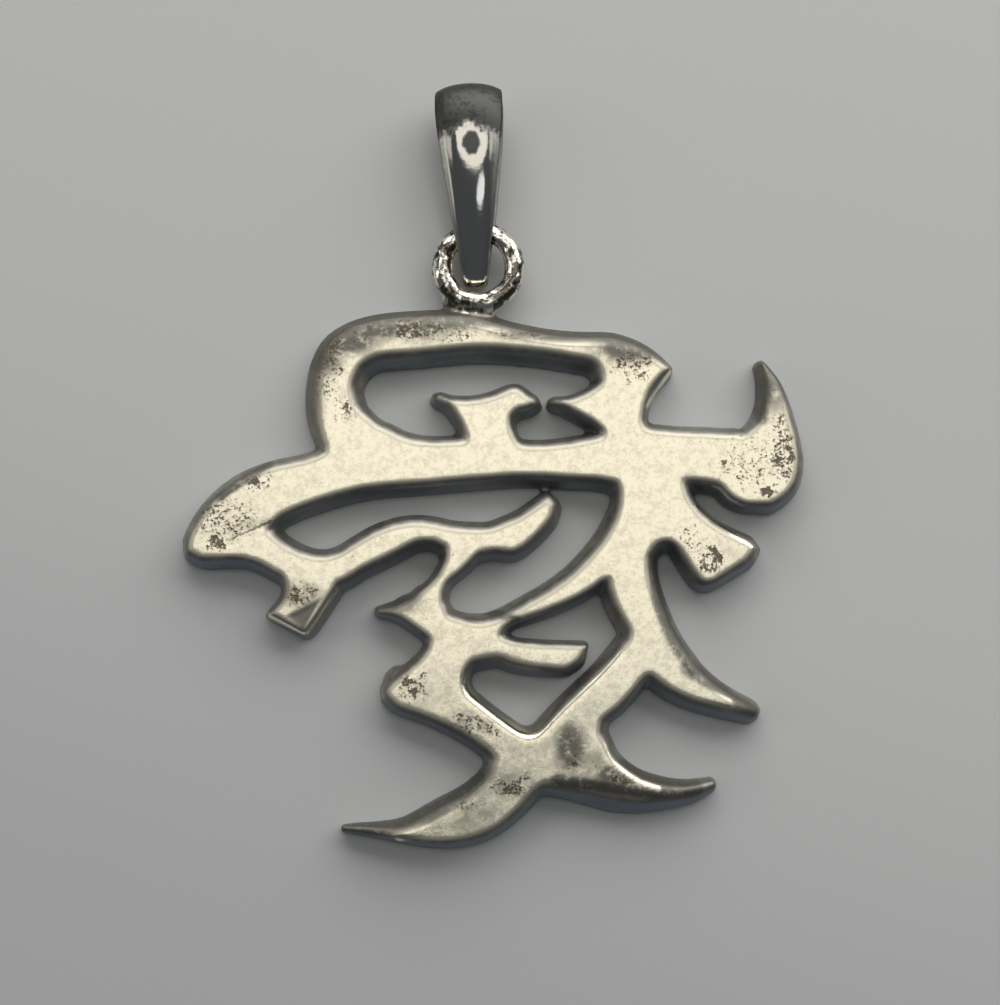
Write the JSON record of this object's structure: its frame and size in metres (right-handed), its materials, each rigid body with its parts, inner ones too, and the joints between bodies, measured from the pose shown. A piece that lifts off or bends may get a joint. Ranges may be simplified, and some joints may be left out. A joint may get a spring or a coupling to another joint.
{
  "type": "pierced character pendant",
  "caption": "Pierced silver pendant in the form of a brush-written Chinese character, with a soldered ring and a tapered loop bail for a chain, lying flat.",
  "frame": {"origin": "middle of the part's box on the surface that it lies on, which is the plate's flat back", "axes": "+Z out of the bright face, +Y up the character towards the bail, +X to the character's right as it is read"},
  "size_m": [0.0338, 0.0414, 0.0036],
  "materials": {
    "plate_silver": "polished silver with tarnish specks, worn bright along its edges",
    "bail_silver": "mirror-polished silver, slightly tarnished at its edges"
  },
  "bodies": {
    "root": {"character_plate": "plate_silver", "bail": "bail_silver"}
  },
  "joints": []
}
